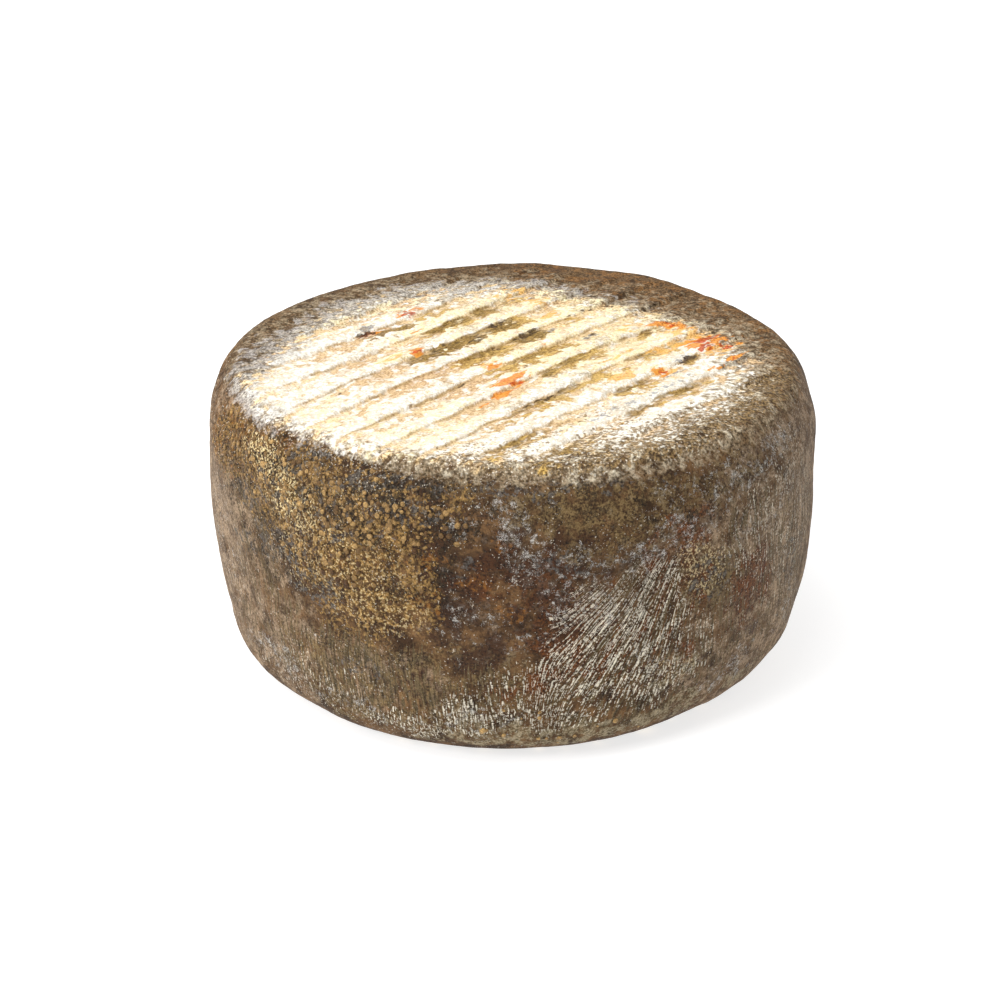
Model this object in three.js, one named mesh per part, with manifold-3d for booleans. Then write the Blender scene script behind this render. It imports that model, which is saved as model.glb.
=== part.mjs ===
// A whole natural-rind farmhouse cheese: one low barrel-shaped wheel, pressed in a round mould
// and ripened on slatted boards. The slats left a row of parallel steps across both faces.
//
// Millimetres, +Z up, origin in the middle of the base. The front of the wheel faces -Y.

import * as THREE from 'three';
import { mergeVertices } from 'three/addons/utils/BufferGeometryUtils.js';
import Module from 'manifold-3d';

// The wheel's half outline
const RADIUS = 100; // widest, half way up the barrel
const HEIGHT = 100;
const BASE_CORNER_RADIUS = 75.6; // where the rounding under the barrel would end
const BASE_CORNER_HEIGHT = 17.7;
const FOOT_DRAW_IN = 2.8; // the barrel is this much narrower where the base corner starts
const TOP_CORNER_RADIUS = 85.8; // where the rounding over the barrel would end
const TOP_CORNER_HEIGHT = 25.6;
const NECK_DRAW_IN = 0.1; // the barrel is this much narrower where the top corner starts
const PRESSED_OFF = 0.3; // the boards pressed both corners flat by this much, which leaves a rim
const STOCK = 1.5; // the body stands this far into each board, inside its corners
const STOCK_SLOPE = 3; // width of the slope up to that stock

// The wheel is made and turned by hand, so it is not quite upright, round or flat.
const LEAN = 0.4; // the top face sits this far to +X of the base

// Waves in the radius. around: waves in one turn; up: waves over the height; size: millimetres.
const SWELLS = [
  { around: 2, up: 0.3, phase: 1.8, size: 0.3 },
  { around: 3, up: -0.5, phase: 1.25, size: 0.9 },
  { around: 5, up: 0.8, phase: 2.55, size: 0.3 },
  { around: 9, up: -1.3, phase: 1.2, size: 0.25 },
  { around: 14, up: 2.1, phase: 5.2, size: 0.2 },
  { around: 23, up: 3.1, phase: 0.7, size: 0.15 },
];

// One side of the foot is worn: the barrel is narrower there.
const WEAR = 2.8;
const WEAR_HEADING = -18; // degrees from +X
const WEAR_HEIGHT = 9;
const WEAR_REACH = 13; // up and down from that height

// Low rolls in the top face. length: millimetres from crest to crest; heading: degrees from +X.
const ROLLS = [
  { length: 118, heading: 20, phase: 0.4, size: 0.45 },
  { length: 71, heading: 105, phase: 2.6, size: 0.3 },
  { length: 43, heading: 160, phase: 4.4, size: 0.2 },
];

// The steps that the slats left. Each falls sharply at its edge, runs level, then ramps up again
// to a narrow land.
const STEP_HEADING = 47; // degrees from +X, the way the steps run
const STEP_PITCH = 13.6;
const STEP_DEPTH = 1.5;
const STEP_FALL = 0.7; // width of the sharp fall
const STEP_FLOOR = 3.9; // width of the level floor
const STEP_RAMP = 5.2; // width of the ramp back up
const FLOOR_RISE = 0.15; // the floor rises by this share of the depth
const STEP_BOW = 0.0006; // the steps bend a little over the near end of the wheel, in 1/mm
const BOW_START = 10; // along the step
const STEP_COUNT = 6; // steps to each side of the first
const TOP_EDGE = -4; // place of the first edge across the top face
const BASE_EDGE = -2; // and across the base, so that a land lies under the middle
const DEPTH_SWING = 0.3; // share by which the depth of a step comes and goes
const DEPTH_WAVE = 64; // millimetres along a step from deep to deep
const DEPTH_SHIFT = 1.7; // radians by which that wave moves from one step to the next
const RIM_FADE = 0.6; // share of the depth that is lost towards the rim
const FADE_START = 66; // millimetres from the middle
const FADE_END = 88;

// Facets
const SECTORS = 108;
const CORNER_STEPS = 7;
const BARREL_STEPS = 9;
const STEP_STATIONS = 16;

const wasm = await Module();
wasm.setup();

const { degToRad, lerp, smoothstep } = THREE.MathUtils;

/** Outline of the even wheel before the boards pressed it, from axis to axis. */
function halfOutline() {
  const footRadius = RADIUS - FOOT_DRAW_IN;
  const neckRadius = RADIUS - NECK_DRAW_IN;
  const neckHeight = HEIGHT - TOP_CORNER_HEIGHT;
  const crown = RADIUS - (footRadius + neckRadius) / 2;
  const points = [
    new THREE.Vector2(0, -STOCK),
    new THREE.Vector2(BASE_CORNER_RADIUS - STOCK_SLOPE, -STOCK),
  ];
  for (let i = 0; i <= CORNER_STEPS; i += 1) {
    const turn = (Math.PI / 2) * (i / CORNER_STEPS);
    const radius = lerp(BASE_CORNER_RADIUS, footRadius, Math.sin(turn));
    points.push(new THREE.Vector2(radius, lerp(BASE_CORNER_HEIGHT, -PRESSED_OFF, Math.cos(turn))));
  }
  for (let i = 1; i < BARREL_STEPS; i += 1) {
    const share = i / BARREL_STEPS;
    const bulge = 4 * crown * share * (1 - share);
    const height = lerp(BASE_CORNER_HEIGHT, neckHeight, share);
    points.push(new THREE.Vector2(lerp(footRadius, neckRadius, share) + bulge, height));
  }
  for (let i = 0; i <= CORNER_STEPS; i += 1) {
    const turn = (Math.PI / 2) * (i / CORNER_STEPS);
    const radius = lerp(TOP_CORNER_RADIUS, neckRadius, Math.cos(turn));
    points.push(new THREE.Vector2(radius, lerp(neckHeight, HEIGHT + PRESSED_OFF, Math.sin(turn))));
  }
  points.push(new THREE.Vector2(TOP_CORNER_RADIUS - STOCK_SLOPE, HEIGHT + STOCK));
  points.push(new THREE.Vector2(0, HEIGHT + STOCK));
  return points;
}

/** Moves a point of the even wheel to its place on the uneven one. The base stays flat. */
function makeUneven(point) {
  const share = point.z / HEIGHT;
  const angle = Math.atan2(point.y, point.x);
  let swell = 0;
  for (const wave of SWELLS) {
    swell += wave.size * Math.sin(wave.around * angle + 2 * Math.PI * wave.up * share + wave.phase);
  }
  const facing = Math.max(Math.cos(angle - degToRad(WEAR_HEADING)), 0);
  swell -= WEAR * facing ** 2 * Math.exp(-(((point.z - WEAR_HEIGHT) / WEAR_REACH) ** 2));
  let roll = 0;
  for (const wave of ROLLS) {
    const heading = degToRad(wave.heading);
    const along = point.x * Math.cos(heading) + point.y * Math.sin(heading);
    roll += wave.size * Math.sin(2 * Math.PI * along / wave.length + wave.phase);
  }
  const nearRim = Math.hypot(point.x, point.y) / RADIUS;
  const growth = 1 + nearRim ** 2 * swell / RADIUS;
  point.z += roll * smoothstep(point.z, HEIGHT - TOP_CORNER_HEIGHT, HEIGHT);
  point.x = point.x * growth + LEAN * share;
  point.y *= growth;
}

/** Moves every vertex of a geometry with move(point). */
function reshape(geometry, move) {
  const position = geometry.getAttribute('position');
  const point = new THREE.Vector3();
  for (let i = 0; i < position.count; i += 1) {
    point.fromBufferAttribute(position, i);
    move(point);
    position.setXYZ(i, point.x, point.y, point.z);
  }
  return geometry;
}

/** A closed geometry as a manifold solid: shared vertices, no faces without area. */
function toSolid(geometry) {
  const bare = geometry.clone();
  bare.deleteAttribute('normal');
  bare.deleteAttribute('uv');
  const merged = mergeVertices(bare);
  const corners = merged.getIndex().array;
  const triangles = [];
  for (let i = 0; i < corners.length; i += 3) {
    const [a, b, c] = corners.slice(i, i + 3);
    if (a !== b && b !== c && c !== a) {
      triangles.push(a, b, c);
    }
  }
  return new wasm.Manifold(new wasm.Mesh({
    numProp: 3,
    vertProperties: merged.getAttribute('position').array,
    triVerts: new Uint32Array(triangles),
  }));
}

/** A manifold solid as a geometry. */
function toGeometry(solid) {
  const mesh = solid.getMesh();
  const geometry = new THREE.BufferGeometry();
  geometry.setAttribute('position', new THREE.BufferAttribute(mesh.vertProperties, 3));
  geometry.setIndex(new THREE.BufferAttribute(mesh.triVerts, 1));
  geometry.computeVertexNormals();
  return geometry;
}

/** The wheel before the boards pressed it: the outline turned round Z, then made uneven. */
function wheelBody() {
  const lathe = new THREE.LatheGeometry(halfOutline(), SECTORS);
  lathe.rotateX(Math.PI / 2);
  return toSolid(reshape(lathe, makeUneven));
}

/** Section of a board: x across it, y into the cheese from 0 down, the row of steps below. */
function boardSection(firstEdge) {
  const rampEnd = -STEP_FALL - STEP_FLOOR - STEP_RAMP;
  const thickness = 3 * STOCK;
  const points = [];
  for (let k = -STEP_COUNT; k <= STEP_COUNT; k += 1) {
    const edge = firstEdge + k * STEP_PITCH;
    points.push(new THREE.Vector2(edge + rampEnd, 0));
    points.push(new THREE.Vector2(edge - STEP_FALL - STEP_FLOOR, -STEP_DEPTH * (1 - FLOOR_RISE)));
    points.push(new THREE.Vector2(edge - STEP_FALL, -STEP_DEPTH));
    points.push(new THREE.Vector2(edge, 0));
  }
  const margin = 3 * STEP_PITCH;
  const last = points.at(-1).x + margin;
  const start = points[0].x - margin;
  points.push(new THREE.Vector2(last, 0), new THREE.Vector2(last, thickness));
  points.push(new THREE.Vector2(start, thickness), new THREE.Vector2(start, 0));
  return new THREE.Shape(points);
}

/**
 * The board that pressed one face, as a solid: the section drawn along the steps and bent by
 * their bow. The steps come and go in depth and fade at the rim. place() lays a point on its face.
 */
function board(firstEdge, place) {
  const heading = degToRad(STEP_HEADING);
  const halfLength = RADIUS + STEP_PITCH;
  const shape = new THREE.ExtrudeGeometry(boardSection(firstEdge), {
    depth: 2 * halfLength,
    steps: STEP_STATIONS,
    bevelEnabled: false,
  });
  return toSolid(reshape(shape, (point) => {
    const along = point.z - halfLength;
    const step = Math.ceil((point.x - firstEdge) / STEP_PITCH);
    const wave = Math.sin(2 * Math.PI * along / DEPTH_WAVE + DEPTH_SHIFT * step);
    const across = point.x - STEP_BOW * Math.min(along - BOW_START, 0) ** 2;
    const fade = 1 - RIM_FADE * smoothstep(Math.hypot(along, across), FADE_START, FADE_END);
    const depth = point.y < 0 ? point.y * (1 + DEPTH_SWING * wave) * fade : point.y;
    point.x = along * Math.cos(heading) - across * Math.sin(heading);
    point.y = along * Math.sin(heading) + across * Math.cos(heading);
    point.z = depth;
    place(point);
  }));
}

/** The whole wheel: the body, pressed by a board on each face, centred over its base. */
function cheeseWheel() {
  const upperBoard = board(TOP_EDGE, (point) => {
    point.z += HEIGHT;
    makeUneven(point);
  });
  const lowerBoard = board(BASE_EDGE, (point) => {
    point.y = -point.y;
    point.z = -point.z;
    makeUneven(point);
  });
  const geometry = toGeometry(wheelBody().subtract(upperBoard).subtract(lowerBoard));
  geometry.computeBoundingBox();
  const middle = geometry.boundingBox.getCenter(new THREE.Vector3());
  return geometry.translate(-middle.x, -middle.y, 0);
}

const rind = new THREE.MeshStandardMaterial({ color: 0x77634c, roughness: 0.9, metalness: 0 });
const wheel = new THREE.Mesh(cheeseWheel(), rind);
wheel.name = 'cheese_wheel';

const part = new THREE.Group();
part.add(wheel);

export default part;
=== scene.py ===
"""A natural-rind farmhouse cheese wheel on a white light table.

The rind is one closed mesh: a square grid on each face, mapped to a disc, and rings down the side between
them. Numpy lays it on the wheel's outline, presses the slat marks into both faces and raises the relief of
the rind. It also works out how much of each mould grows where, and where shade, rim light and glints are
painted on, and the material reads that from the mesh's attributes. Small round granules of rind sit on the
shoulder.
"""

import itertools

import bpy
import numpy as np
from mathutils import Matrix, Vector


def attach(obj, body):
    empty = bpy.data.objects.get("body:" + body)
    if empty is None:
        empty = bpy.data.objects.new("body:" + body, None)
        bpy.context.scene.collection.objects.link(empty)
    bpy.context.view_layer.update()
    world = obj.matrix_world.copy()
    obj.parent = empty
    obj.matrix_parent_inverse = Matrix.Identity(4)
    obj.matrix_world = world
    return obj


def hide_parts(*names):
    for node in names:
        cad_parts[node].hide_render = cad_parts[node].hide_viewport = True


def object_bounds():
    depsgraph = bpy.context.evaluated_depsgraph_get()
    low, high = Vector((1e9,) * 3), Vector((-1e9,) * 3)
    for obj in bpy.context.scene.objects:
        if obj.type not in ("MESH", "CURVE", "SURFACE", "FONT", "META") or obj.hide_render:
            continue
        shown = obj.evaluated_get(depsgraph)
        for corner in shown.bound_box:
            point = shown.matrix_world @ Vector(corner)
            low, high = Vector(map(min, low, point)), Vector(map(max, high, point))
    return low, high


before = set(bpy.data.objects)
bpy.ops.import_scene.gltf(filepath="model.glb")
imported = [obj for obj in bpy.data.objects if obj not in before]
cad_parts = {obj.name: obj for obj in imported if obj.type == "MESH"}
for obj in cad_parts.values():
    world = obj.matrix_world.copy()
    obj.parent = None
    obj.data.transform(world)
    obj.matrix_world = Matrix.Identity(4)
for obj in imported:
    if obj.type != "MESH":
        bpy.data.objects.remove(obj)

CAD_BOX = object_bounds()
MM = 0.001

# The wheel's outline and unevenness, in millimetres, as in the solid
RADIUS = 100  # widest, half way up the barrel
HEIGHT = 100
BASE_CORNER_RADIUS = 75.6  # where the rounding under the barrel would end
BASE_CORNER_HEIGHT = 17.7
FOOT_DRAW_IN = 2.8  # the barrel is this much narrower where the base corner starts
TOP_CORNER_RADIUS = 85.8  # where the rounding over the barrel would end
TOP_CORNER_HEIGHT = 25.6
NECK_DRAW_IN = 0.1  # the barrel is this much narrower where the top corner starts
PRESSED_OFF = 0.3  # the boards pressed both corners flat by this much
LEAN = 0.4  # the top face sits this far to +X of the base
SWELLS = (  # waves in one turn, waves over the height, phase, size
    (2, 0.3, 1.8, 0.3),
    (3, -0.5, 1.25, 0.9),
    (5, 0.8, 2.55, 0.3),
    (9, -1.3, 1.2, 0.25),
    (14, 2.1, 5.2, 0.2),
    (23, 3.1, 0.7, 0.15),
)
WEAR = 2.8  # one side of the foot is worn by this much
WEAR_HEADING = np.radians(-18)  # from +X
WEAR_HEIGHT = 9
WEAR_REACH = 13  # up and down from that height
ROLLS = (  # crest to crest, heading in degrees, phase, size
    (118, 20, 0.4, 0.45),
    (71, 105, 2.6, 0.3),
    (43, 160, 4.4, 0.2),
)

# The slat marks, which are steps: a sharp fall, a level floor and a ramp back up
STEP_HEADING = np.radians(47)  # from +X, the way they run
STEP_PITCH = 13.6
STEP_DEPTH = 1.5
STEP_FALL = 0.7  # widths of the three parts
STEP_FLOOR = 3.9
STEP_RAMP = 5.2
FLOOR_RISE = 0.15  # share of the depth
STEP_BOW = 0.0006  # their bend over the near end of the wheel, in 1/mm
BOW_START = 10  # mm along the step
TOP_EDGE = -4  # place of the first edge across the top
BASE_EDGE = -2  # and across the base
DEPTH_SWING = 0.3  # share by which the depth of a step comes and goes
DEPTH_WAVE = 64  # mm along a step from deep to deep
DEPTH_SHIFT = 1.7  # radians by which that wave moves from one step to the next
RIM_FADE = 0.6  # share of the depth that is lost towards the rim
FADE_START = 66  # mm from the middle
FADE_END = 88

# What only the rind's mesh has, in millimetres
MOULD_FILL = 0.35  # share of the top's slat marks that mould has filled
EDGE_SOFTNESS = 0.3  # over which mould rounds their edges
EDGE_WANDER = 0.7  # of the steps' edges
CELLS = 140  # across each face
TOP_GRID_RADIUS = 86
BASE_GRID_RADIUS = 80
ROWS = 102  # rings between the two grids
SNAP_REACH = 1.25  # about one cell


def smooth(value, low, high):
    """0 below low, 1 above high, and t * t * (3 - 2 * t) between them."""
    t = np.clip((value - low) / (high - low), 0, 1)
    return t * t * (3 - 2 * t)


def mix(a, b, share):
    """Straight blend from a to b."""
    return a + (b - a) * share


def from_axis(point):
    """Distance from the wheel's axis."""
    return np.hypot(point[:, 0], point[:, 1])


def bearing(point):
    """Angle round the axis in degrees, 0 at the front and 90 on the right."""
    return np.degrees(np.arctan2(point[:, 0], -point[:, 1]))


# ---------------------------------------------------------------- noise


def cell_random(cell, seed):
    """A repeatable number from 0 to 1 for each whole-number cell: its coordinates times large
    odd numbers, mixed by shifts and a product, of which 24 bits are kept."""
    x, y, z = np.moveaxis(cell.astype(np.int64), -1, 0)
    mixed = x * 73856093 ^ y * 19349663 ^ z * 83492791 ^ seed * 2654435761
    for _ in range(2):
        mixed ^= mixed >> 15
        mixed = (mixed * 1274126177) & 0x7FFFFFFFFFFF
    mixed ^= mixed >> 13
    return (mixed & 0xFFFFFF) / 0xFFFFFF


def noise(point, length, seed, octaves=1):
    """Smooth noise from -1 to 1: random numbers on a lattice length apart, blended by
    t * t * (3 - 2 * t), plus octaves that are each half as long and half as high."""
    total = 0
    height = 1
    for octave in range(octaves):
        spot = point * (2**octave / length)
        base = np.floor(spot)
        t = spot - base
        t = t * t * (3 - 2 * t)
        for corner in itertools.product((0, 1), repeat=3):
            weight = np.where(corner, t, 1 - t).prod(axis=-1)
            total = total + height * weight * (2 * cell_random(base + corner, seed + octave) - 1)
        height = height / 2
    return total


def pebbles(point, length, seed):
    """Distance, in lengths, to the nearest of the seeds that lie one in each cell of a lattice,
    and a random number for that seed."""
    spot = point / length
    base = np.floor(spot)
    nearest = np.full(len(point), 9.0)
    own = np.zeros(len(point))
    for offset in itertools.product((-1, 0, 1), repeat=3):
        cell = base + offset
        place = cell + np.stack([cell_random(cell, seed + i) for i in range(3)], axis=-1)
        distance = np.linalg.norm(place - spot, axis=-1)
        closer = distance < nearest
        nearest = np.where(closer, distance, nearest)
        own = np.where(closer, cell_random(cell, seed + 3), own)
    return nearest, own


# ---------------------------------------------------------------- form


def side_outline():
    """Radius and height of the rings, evenly spaced down the outline: a quarter ellipse, a
    parabola and a quarter ellipse."""
    foot = RADIUS - FOOT_DRAW_IN
    neck = RADIUS - NECK_DRAW_IN
    neck_height = HEIGHT - TOP_CORNER_HEIGHT
    turn = np.radians(np.linspace(0, 90, 60))
    share = np.linspace(0, 1, 60)
    crown = RADIUS - (foot + neck) / 2
    radius = np.concatenate([
        mix(TOP_CORNER_RADIUS, neck, np.sin(turn)),
        mix(neck, foot, share) + 4 * crown * share * (1 - share),
        mix(BASE_CORNER_RADIUS, foot, np.cos(turn)),
    ])
    height = np.concatenate([
        mix(neck_height, HEIGHT + PRESSED_OFF, np.cos(turn)),
        mix(neck_height, BASE_CORNER_HEIGHT, share),
        mix(BASE_CORNER_HEIGHT, -PRESSED_OFF, np.sin(turn)),
    ])
    upper = (radius > TOP_GRID_RADIUS) | (height < HEIGHT / 2)
    outer = (radius > BASE_GRID_RADIUS) | (height > HEIGHT / 2)
    radius = radius[upper & outer]
    height = height[upper & outer]
    run = np.concatenate([[0], np.cumsum(np.hypot(np.diff(radius), np.diff(height)))])
    place = np.linspace(0, run[-1], ROWS + 1)
    return np.interp(place, run, radius), np.interp(place, run, height)


def wheel_grid():
    """Points of the even, unpressed wheel and the quads between them. On the faces, u and v from
    -1 to 1 go to x = r u sqrt(1 - v²/2) and y = r v sqrt(1 - u²/2), turned to the steps' heading;
    the side's rings stand at the angles of the grid's rim."""
    line = np.linspace(-1, 1, CELLS + 1)
    u, v = np.meshgrid(line, line, indexing="ij")
    along = u * np.sqrt(1 - v * v / 2)
    across = v * np.sqrt(1 - u * u / 2)
    cos, sin = np.cos(STEP_HEADING), np.sin(STEP_HEADING)
    disc = np.stack([along * cos - across * sin, along * sin + across * cos], axis=-1)
    count = (CELLS + 1) ** 2
    top = np.arange(count).reshape(CELLS + 1, CELLS + 1)
    rim = np.concatenate([top[:-1, 0], top[-1, :-1], top[:0:-1, -1], top[0, :0:-1]])
    flat = disc.reshape(-1, 2)
    radius, height = side_outline()
    ring = flat[rim][None, :, :] * radius[1:-1, None, None]
    rings = np.concatenate(
        [ring, np.broadcast_to(height[1:-1, None, None], ring.shape[:2] + (1,))], axis=-1
    ).reshape(-1, 3)
    points = np.concatenate([
        np.c_[flat * TOP_GRID_RADIUS, np.full(count, HEIGHT + PRESSED_OFF)],
        rings,
        np.c_[flat * BASE_GRID_RADIUS, np.full(count, -PRESSED_OFF)],
    ])
    base = top + count + len(rings)
    rows = np.concatenate([
        rim[None],
        count + np.arange(len(rings)).reshape(ROWS - 1, len(rim)),
        (rim + count + len(rings))[None],
    ])
    nextto = np.roll(rows, -1, axis=1)
    quads = np.concatenate([
        np.stack([top[:-1, :-1], top[1:, :-1], top[1:, 1:], top[:-1, 1:]], axis=-1).reshape(-1, 4),
        np.stack([rows[:-1], rows[1:], nextto[1:], nextto[:-1]], axis=-1).reshape(-1, 4),
        np.stack([base[:-1, :-1], base[:-1, 1:], base[1:, 1:], base[1:, :-1]], axis=-1).reshape(-1, 4),
    ])
    return points, quads


def step_frame(point, side=1):
    """Millimetres along the slat marks and across them, their bow taken out. side is -1 on the
    base, whose marks mirror the top's."""
    x, y = point[:, 0], side * point[:, 1]
    along = x * np.cos(STEP_HEADING) + y * np.sin(STEP_HEADING)
    across = y * np.cos(STEP_HEADING) - x * np.sin(STEP_HEADING)
    return along, across + STEP_BOW * np.minimum(along - BOW_START, 0) ** 2


def past_edge(across, edge, ragged):
    """Number of the slat mark that a point is in, and the point's way past its sharp edge, which
    wanders a little."""
    wandered = across + EDGE_WANDER * ragged
    number = np.ceil((wandered - edge) / STEP_PITCH)
    return number, edge + number * STEP_PITCH - wandered


def snap(past):
    """Way to move a point so that it isn't halfway down a fall: within SNAP_REACH of the fall's
    middle, nine tenths of the way to its lip or its foot."""
    near = np.where(past > STEP_PITCH / 2, past - STEP_PITCH, past)
    goal = np.where(near < STEP_FALL / 2, 0, STEP_FALL)
    return 0.9 * (goal - near) * (np.abs(near - STEP_FALL / 2) < SNAP_REACH)


def step_depth(along, across, edge, ragged):
    """Depth of the slat marks: a sharp fall, a floor that rises a little, and a ramp whose end is
    moved by ragged. It comes and goes along the step and fades towards the rim."""
    number, past = past_edge(across, edge, ragged)
    floor_end = STEP_FALL + STEP_FLOOR
    end = floor_end + STEP_RAMP + ragged
    fall = np.clip(past / STEP_FALL, 0, 1)
    floor = 1 - FLOOR_RISE * np.clip((past - STEP_FALL) / STEP_FLOOR, 0, 1)
    ramp = np.clip((end - past) / (end - floor_end), 0, 1)
    wave = np.sin(2 * np.pi * along / DEPTH_WAVE + DEPTH_SHIFT * number)
    fade = 1 - RIM_FADE * smooth(np.hypot(along, across), FADE_START, FADE_END)
    return STEP_DEPTH * (1 + DEPTH_SWING * wave) * fade * np.minimum(fall, floor * ramp)


def make_uneven(point):
    """The solid's unevenness. The radius grows by swell * (radius / RADIUS)², swell being the sum of
    the swells' sines less the wear, a bell over the height that fades round the wheel as cos². The
    top is lifted by the rolls' sines, and x shifts by the lean."""
    share = point[:, 2] / HEIGHT
    angle = np.arctan2(point[:, 1], point[:, 0])
    swell = sum(
        size * np.sin(around * angle + 2 * np.pi * up * share + phase)
        for around, up, phase, size in SWELLS
    )
    facing = np.maximum(np.cos(angle - WEAR_HEADING), 0)
    swell = swell - WEAR * facing**2 * np.exp(-(((point[:, 2] - WEAR_HEIGHT) / WEAR_REACH) ** 2))
    roll = 0
    for length, degrees, phase, size in ROLLS:
        heading = np.radians(degrees)
        along = point[:, 0] * np.cos(heading) + point[:, 1] * np.sin(heading)
        roll = roll + size * np.sin(2 * np.pi * along / length + phase)
    growth = 1 + (from_axis(point) / RADIUS) ** 2 * swell / RADIUS
    lift = roll * smooth(point[:, 2], HEIGHT - TOP_CORNER_HEIGHT, HEIGHT)
    return np.stack([
        point[:, 0] * growth + LEAN * share, point[:, 1] * growth, point[:, 2] + lift
    ], axis=-1)


# ---------------------------------------------------------------- where each mould grows

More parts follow.
